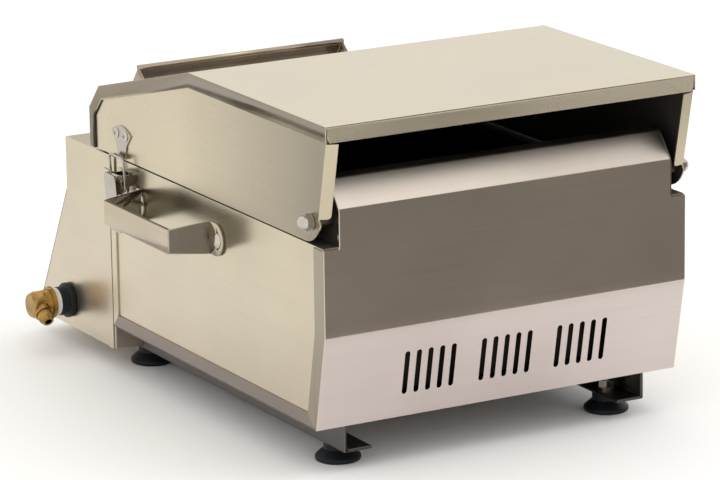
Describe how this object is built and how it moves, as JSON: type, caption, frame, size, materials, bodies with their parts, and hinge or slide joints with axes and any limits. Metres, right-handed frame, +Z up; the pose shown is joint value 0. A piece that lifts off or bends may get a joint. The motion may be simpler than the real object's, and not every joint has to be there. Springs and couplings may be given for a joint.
{
  "type": "portable tabletop grill",
  "caption": "Folded stainless tabletop gas grill with hinged lid, rear vent hood, sloping control box, toggle latches, side handles and rubber feet.",
  "frame": {"origin": "on the ground, under the middle of the overall length and width", "axes": "+Z up, +Y towards the hinged rear side, -Y towards the control knobs, +X towards the gas inlet"},
  "size_m": [0.438, 0.5754, 0.311],
  "materials": {
    "brushed_steel": "fine brushed grain, satin",
    "heated_steel": "stainless dulled by heat and smoke",
    "hotplate_iron": "seasoned, slightly oily",
    "tray_aluminium": "pressed, satin",
    "pipe_steel": "drawn tube, satin",
    "valve_brass": "machined",
    "inlet_brass": "cast and machined, lightly tarnished",
    "knob_plastic": "fine matt mould texture",
    "button_plastic": "gloss",
    "electrode_ceramic": "glazed ceramic",
    "lead_sleeve": "silicone sleeve",
    "white_nylon": "smooth nylon",
    "black_rubber": "moulded, satin",
    "fastener_steel": "polished stainless",
    "latch_steel": "polished stainless"
  },
  "bodies": {
    "base": {"rear_panel": "brushed_steel", "front_panel": "brushed_steel", "base_floor": "brushed_steel", "side_panel_left": "brushed_steel", "side_panel_right": "brushed_steel", "control_box_shell": "brushed_steel", "control_panel": "brushed_steel", "firebox": "heated_steel", "plate_rests": "heated_steel", "fat_tray": "tray_aluminium", "burner_left": "heated_steel", "burner_right": "heated_steel", "heat_shields": "heated_steel", "burner_cradle": "heated_steel", "gas_manifold": "pipe_steel", "valve_left": "valve_brass", "valve_right": "valve_brass", "jets": "valve_brass", "igniter_body": "knob_plastic", "igniter_electrodes": "electrode_ceramic", "ignition_leads": "lead_sleeve", "inlet_elbow": "inlet_brass", "inlet_sleeve": "white_nylon", "inlet_grommet": "black_rubber", "rail_left": "brushed_steel", "rail_right": "brushed_steel", "feet": "black_rubber", "foot_bolts": "fastener_steel", "foot_nuts": "fastener_steel", "side_handle_left": "brushed_steel", "side_handle_right": "brushed_steel", "handle_bolts": "fastener_steel", "handle_nuts": "fastener_steel", "latch_base_left": "latch_steel", "latch_base_right": "latch_steel", "latch_pins": "fastener_steel", "hinge_pins": "fastener_steel", "hinge_spacers": "heated_steel", "hinge_nuts": "fastener_steel"},
    "lid": {"lid_shell": "brushed_steel", "lid_side_left": "brushed_steel", "lid_side_right": "brushed_steel", "lid_handle": "brushed_steel", "keeper_left": "latch_steel", "keeper_right": "latch_steel", "keeper_screws": "fastener_steel"},
    "hotplate": {"hotplate": "hotplate_iron"},
    "lever_left": {"latch_lever_left": "latch_steel"},
    "lever_right": {"latch_lever_right": "latch_steel"},
    "bail_left": {"bail_left": "latch_steel"},
    "bail_right": {"bail_right": "latch_steel"},
    "tap_left": {"tap_plug_left": "valve_brass"},
    "tap_right": {"tap_plug_right": "valve_brass"},
    "knob_left": {"knob_left": "knob_plastic", "spindle_left": "pipe_steel"},
    "knob_right": {"knob_right": "knob_plastic", "spindle_right": "pipe_steel"},
    "igniter_button": {"igniter_button": "button_plastic"}
  },
  "joints": [
    {"name": "lid_hinge", "type": "hinge", "parent": "base", "child": "lid", "pos_m": [0, 0.2585, 0.2245], "axis": [-1, 0, 0], "range_deg": [0, 90]},
    {"name": "hotplate_lift", "type": "slide", "parent": "base", "child": "hotplate", "axis": [0, 0, 1], "range_m": [0, 0.03]},
    {"name": "lever_left_lift", "type": "hinge", "parent": "base", "child": "lever_left", "pos_m": [-0.1875, -0.0935, 0.191], "axis": [0, 1, 0], "range_deg": [0, 100]},
    {"name": "bail_left_swing", "type": "hinge", "parent": "lever_left", "child": "bail_left", "pos_m": [-0.1855, -0.0935, 0.182], "axis": [0, 1, 0], "range_deg": [-100, 0]},
    {"name": "tap_left_turn", "type": "hinge", "parent": "base", "child": "tap_left", "pos_m": [-0.085, -0.2195, 0.096], "axis": [0, -0.8848, 0.4659], "range_deg": [0, 180]},
    {"name": "knob_left_push", "type": "slide", "parent": "tap_left", "child": "knob_left", "axis": [0, 0.8848, -0.4659], "range_m": [0, 0.003], "stiffness_N_per_m": 600},
    {"name": "lever_right_lift", "type": "hinge", "parent": "base", "child": "lever_right", "pos_m": [0.1875, -0.0935, 0.191], "axis": [0, -1, 0], "range_deg": [0, 100]},
    {"name": "bail_right_swing", "type": "hinge", "parent": "lever_right", "child": "bail_right", "pos_m": [0.1855, -0.0935, 0.182], "axis": [0, -1, 0], "range_deg": [-100, 0]},
    {"name": "tap_right_turn", "type": "hinge", "parent": "base", "child": "tap_right", "pos_m": [0.085, -0.2195, 0.096], "axis": [0, -0.8848, 0.4659], "range_deg": [0, 180]},
    {"name": "knob_right_push", "type": "slide", "parent": "tap_right", "child": "knob_right", "axis": [0, 0.8848, -0.4659], "range_m": [0, 0.003], "stiffness_N_per_m": 600},
    {"name": "igniter_push", "type": "slide", "parent": "base", "child": "igniter_button", "axis": [0, 0.8848, -0.4659], "range_m": [0, 0.007], "stiffness_N_per_m": 700}
  ],
  "couplings": [
    {"joint": "bail_left_swing", "follows": "lever_left_lift", "ratio": -1},
    {"joint": "bail_right_swing", "follows": "lever_right_lift", "ratio": -1}
  ]
}
